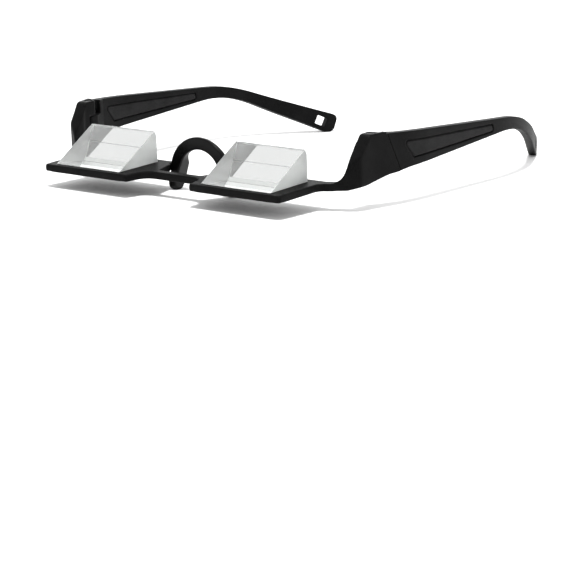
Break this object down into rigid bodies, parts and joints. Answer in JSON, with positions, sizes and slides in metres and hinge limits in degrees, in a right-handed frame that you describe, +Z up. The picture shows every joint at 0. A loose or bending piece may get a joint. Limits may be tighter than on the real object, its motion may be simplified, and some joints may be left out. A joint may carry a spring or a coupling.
{
  "type": "prism bed glasses",
  "caption": "Folding glasses frame with a mirrored 30-60-90 viewing prism on a flat tray before each eye, for reading lying down.",
  "frame": {"origin": "middle of the bounding box on the surface that the nose pads and temple tips rest on", "axes": "+Z up, the front faces -Y and the temples run back along +Y, +X to the wearer's left"},
  "size_m": [0.1424, 0.1678, 0.0265],
  "materials": {
    "frame_plastic": "fine moulded grain, matte",
    "saddle_rubber": "smooth, satin",
    "prism_glass": "polished, clear",
    "prism_coating": "vapour-coated mirror",
    "bond_layer": "cured adhesive",
    "insert_plastic": "fine moulded grain, matte",
    "screw_steel": "darkened, turned"
  },
  "bodies": {
    "front": {"front_frame": "frame_plastic", "nose_saddle": "saddle_rubber", "prism_left": "prism_glass", "prism_right": "prism_glass", "prism_mirror_left": "prism_coating", "prism_mirror_right": "prism_coating", "prism_bond_left": "bond_layer", "prism_bond_right": "bond_layer", "hinge_screw_left": "screw_steel", "hinge_screw_right": "screw_steel"},
    "left_temple": {"temple_left": "frame_plastic", "temple_insert_left": "insert_plastic"},
    "right_temple": {"temple_right": "frame_plastic", "temple_insert_right": "insert_plastic"}
  },
  "joints": [
    {"name": "left_hinge", "type": "hinge", "parent": "front", "child": "left_temple", "pos_m": [-0.0643, -0.0475, 0.01754], "axis": [0, 0.0479, -0.9989], "range_deg": [0, 90]},
    {"name": "right_hinge", "type": "hinge", "parent": "front", "child": "right_temple", "pos_m": [0.0643, -0.0475, 0.01754], "axis": [0, -0.0479, 0.9989], "range_deg": [0, 82]}
  ]
}
